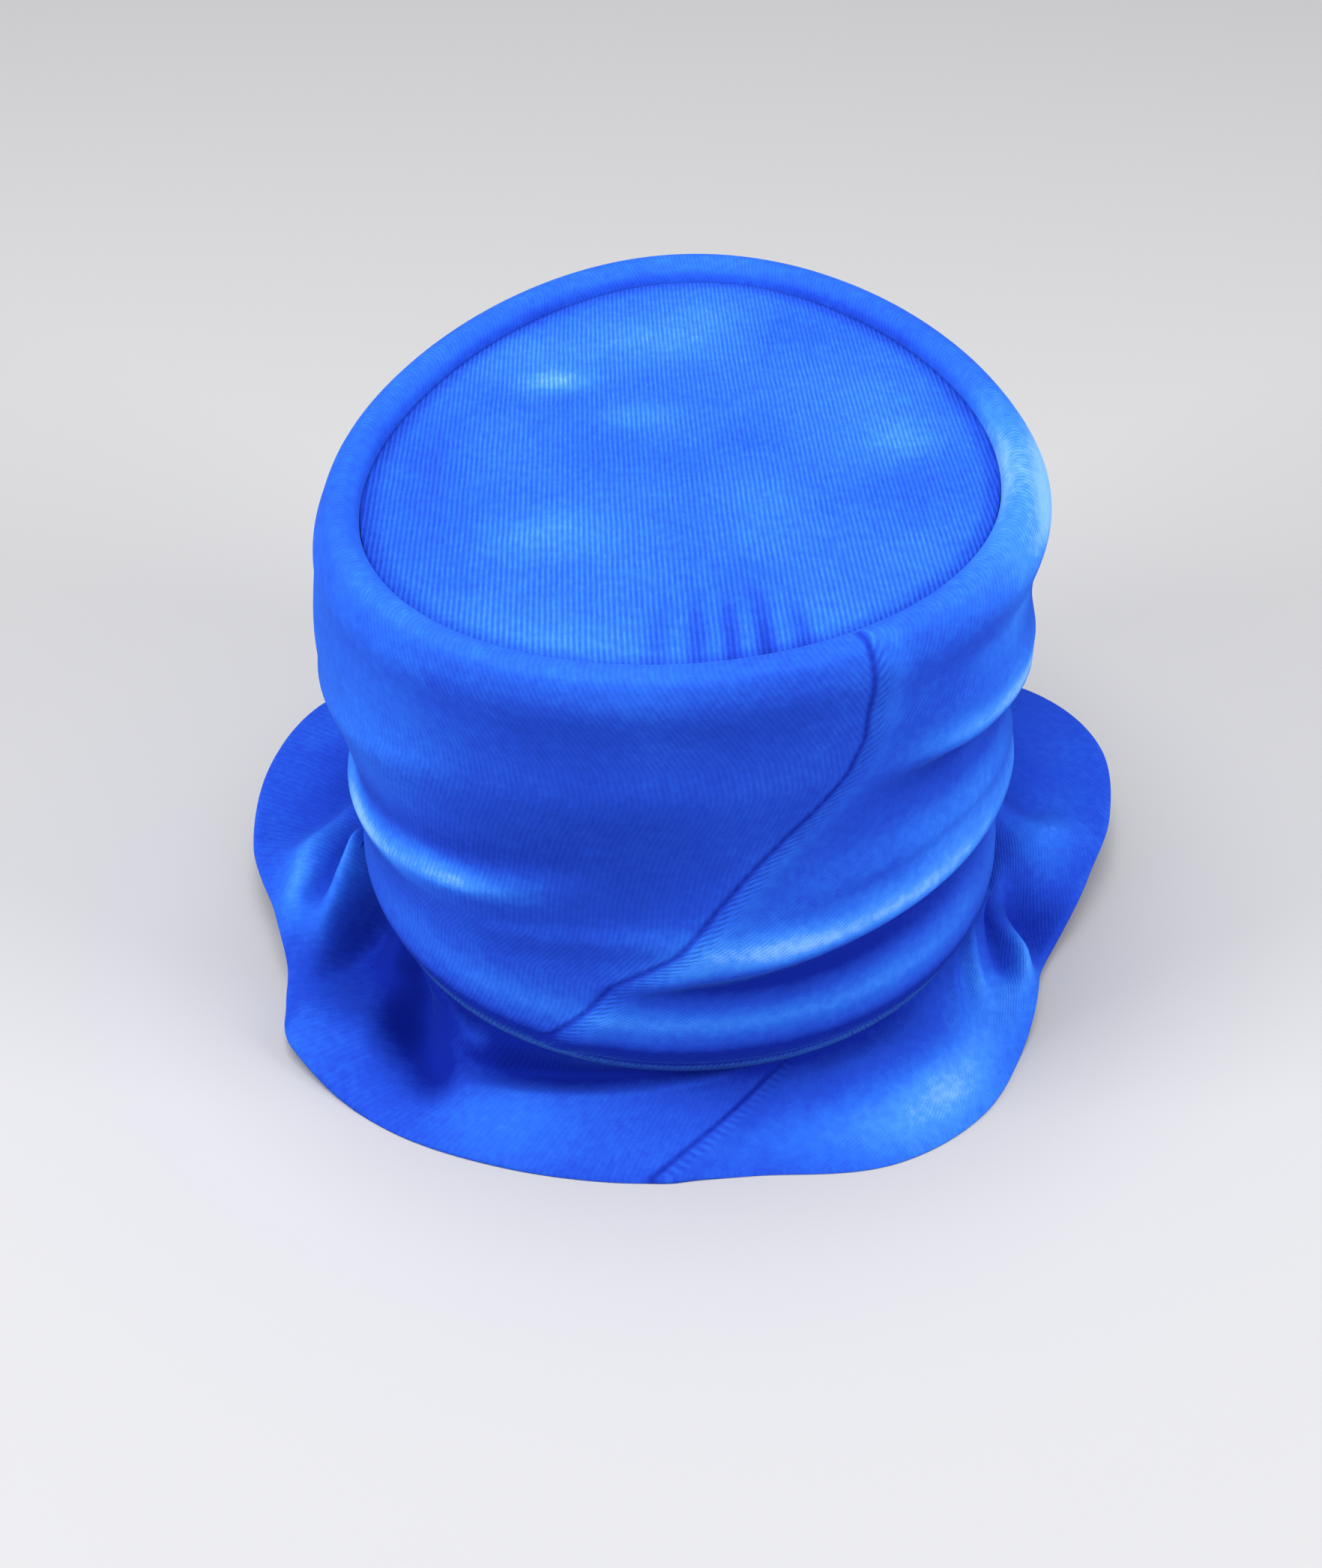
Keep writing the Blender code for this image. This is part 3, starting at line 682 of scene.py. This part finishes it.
# %% The tip's pleats and brushing
# across, width, depth, in metres; each pleat runs forward from the back edge
PLEATS = (
    (-0.003, 0.0024, 0.0007),
    (-0.011, 0.0020, 0.0010),
    (-0.019, 0.0022, 0.0013),
    (-0.028, 0.0026, 0.0008),
    (0.006, 0.0030, 0.0004),
)
# the nap of the tip, and how much painted shade darkens a pleat for each metre of its depth
TIP_NAP, PLEAT_SHADE = 0.60, 300
# x, y, width in x, width in y, strength, in metres
TIP_BRUSHING = (
    (0.048, -0.045, 0.020, 0.013, 0.10),
    (0.034, -0.030, 0.010, 0.006, 0.26),
    (0.006, -0.052, 0.022, 0.016, 0.15),
    (-0.012, -0.066, 0.010, 0.009, 0.07),
    (0.014, -0.012, 0.012, 0.007, 0.13),
    (0.034, 0.044, 0.016, 0.010, 0.12),
    (-0.034, -0.020, 0.020, 0.016, 0.04),
    (-0.058, -0.002, 0.008, 0.010, 0.12),
    (-0.016, 0.062, 0.020, 0.012, -0.08),
    (0.066, 0.010, 0.008, 0.030, -0.07),
)


# %% The tip's surface
def tip_surface(columns, rings):
    """The oval shrunk ring by ring to a point; height is a dome less the pleats and soft dents."""
    share = np.linspace(1, 0, rings + 1)[:-1, None]
    turn = turns(columns)[None, :]
    x, y = oval(turn, TIP_WIDTH - 2 * SEAM_GAP, TIP_LENGTH - 2 * SEAM_GAP, TIP_EGG, 0.0, TIP_SKEW)
    x, y = share * x, share * y + TIP_SHIFT
    height = HEAD_LINE + CROWN_DEPTH + TIP_DOME * (1 - share**2)
    back = ease((y - 0.060) / 0.030)
    pleated = 0 * x
    for across, width, depth in PLEATS:
        pleated = pleated + depth * bell(x - across * (0.6 + y / 0.2), width)
    height = height - pleated * back
    height = height + 0.0006 * np.sin(55 * x + 20 * y) * np.sin(48 * y - 1.0) * (1 - share**2)
    # painted shade in the pleats, a little paler between them
    pile_and_painted_light = TIP_NAP + 0 * x - PLEAT_SHADE * (pleated - 0.0003) * back
    for mark_x, mark_y, wide_x, wide_y, strength in TIP_BRUSHING:
        pile_and_painted_light = pile_and_painted_light + strength * bell(x - mark_x, wide_x) * bell(y - mark_y, wide_y)
    # painted shade near the rim, under the roll
    pile_and_painted_light = pile_and_painted_light - 0.18 * ease((share - 0.93) / 0.07)
    grain = x * (1 - 0.9 * (y - TIP_SHIFT)) + 0.05 * (y - TIP_SHIFT)
    far = np.full_like(pile_and_painted_light, NO_SEAM)
    return np.stack([x, y, height], axis=2), dict(pile_and_painted_light=pile_and_painted_light, grain=grain, seam=far, stitch=0 * far)


def tip_piece(columns, rings):
    """The upper and lower faces of the tip, joined at the rim and each closed by a fan of triangles."""
    upper, values = tip_surface(columns, rings)
    lower = upper - np.array([0, 0, CLOTH])
    middle = np.array([0, TIP_SHIFT, HEAD_LINE + CROWN_DEPTH + TIP_DOME])
    rows = np.vstack([upper[::-1], lower])
    points = np.vstack([rows.reshape(-1, 3), [middle], [middle - [0, 0, CLOTH]]])
    faces = loop_quads(2 * rings, columns, closed=False).tolist()
    j = np.arange(columns)
    k = (j + 1) % columns
    last = (2 * rings - 1) * columns
    faces += np.stack([np.full(columns, len(points) - 2), k, j], axis=1).tolist()
    faces += np.stack([np.full(columns, len(points) - 1), last + j, last + k], axis=1).tolist()
    kept = {key: np.append(np.vstack([v[::-1], v]).ravel(), [v[-1].mean()] * 2) for key, v in values.items()}
    tip_velvet = velvet("tip_velvet", 0.00010, 0.120)
    return cloth_piece("ribbed_tip", points, faces, kept, tip_velvet, "crown_tip")


tip_piece(columns=480, rings=72)

# %% [markdown]
# ## Stage, light and camera
#
# A pale floor, a soft light above and two beside the back of the hat, so the flat tip is brightest and
# the lips of the folds show. The camera looks down at the back of the hat.

# %% Floor
floor_mesh = bpy.data.meshes.new("floor")
floor_corners = [(-4, -4, -0.0002), (4, -4, -0.0002), (4, 4, -0.0002), (-4, 4, -0.0002)]
floor_mesh.from_pydata(floor_corners, [], [(0, 1, 2, 3)])
floor = bpy.data.objects.new("floor", floor_mesh)
bpy.context.scene.collection.objects.link(floor)
floor_paint = bpy.data.materials.new("pale_floor")
floor_paint.use_nodes = True
floor_paint.node_tree.nodes["Principled BSDF"].inputs["Base Color"].default_value = (0.50, 0.50, 0.51, 1)
floor_paint.node_tree.nodes["Principled BSDF"].inputs["Roughness"].default_value = 0.8
floor_mesh.materials.append(floor_paint)


# %% Lights
def softbox(name, place, aim, size, watts):
    """A square area light at place, turned to face aim."""
    data = bpy.data.lights.new(name, "AREA")
    data.size = size
    data.energy = watts
    lamp = bpy.data.objects.new(name, data)
    lamp.location = place
    lamp.rotation_euler = (Vector(place) - Vector(aim)).to_track_quat("Z", "Y").to_euler()
    bpy.context.scene.collection.objects.link(lamp)
    return lamp


middle = (0.0, 0.0, 0.08)
softbox("top_light", (0.10, 0.10, 1.60), middle, 1.2, 23)
softbox("right_light", (-1.30, 0.60, 0.70), middle, 0.7, 17)
softbox("left_light", (1.35, 0.60, 0.70), middle, 0.7, 19)
bpy.context.scene.view_settings.view_transform = "Standard"
world = bpy.data.worlds.new("studio")
bpy.context.scene.world = world
world.use_nodes = True
world.node_tree.nodes["Background"].inputs["Color"].default_value = (1, 1, 1, 1)
world.node_tree.nodes["Background"].inputs["Strength"].default_value = 0.28

# %% Camera
ELEVATION, DISTANCE = math.radians(38.5), 0.85
AIM = Vector((0.0068, 0.00485, 0.0375))
towards = Vector((0, math.cos(ELEVATION), math.sin(ELEVATION)))
camera_data = bpy.data.cameras.new("camera")
camera_data.sensor_fit = "VERTICAL"
camera_data.sensor_height = 36
camera_data.lens = 36 * 4000 / 2092
camera = bpy.data.objects.new("camera", camera_data)
camera.location = AIM + DISTANCE * towards
camera.rotation_euler = towards.to_track_quat("Z", "Y").to_euler()
bpy.context.scene.collection.objects.link(camera)
bpy.context.scene.camera = camera

# %% [markdown]
# ## Finish
#
# The view layer is brought up to date.

# %% Finish
bpy.context.view_layer.update()
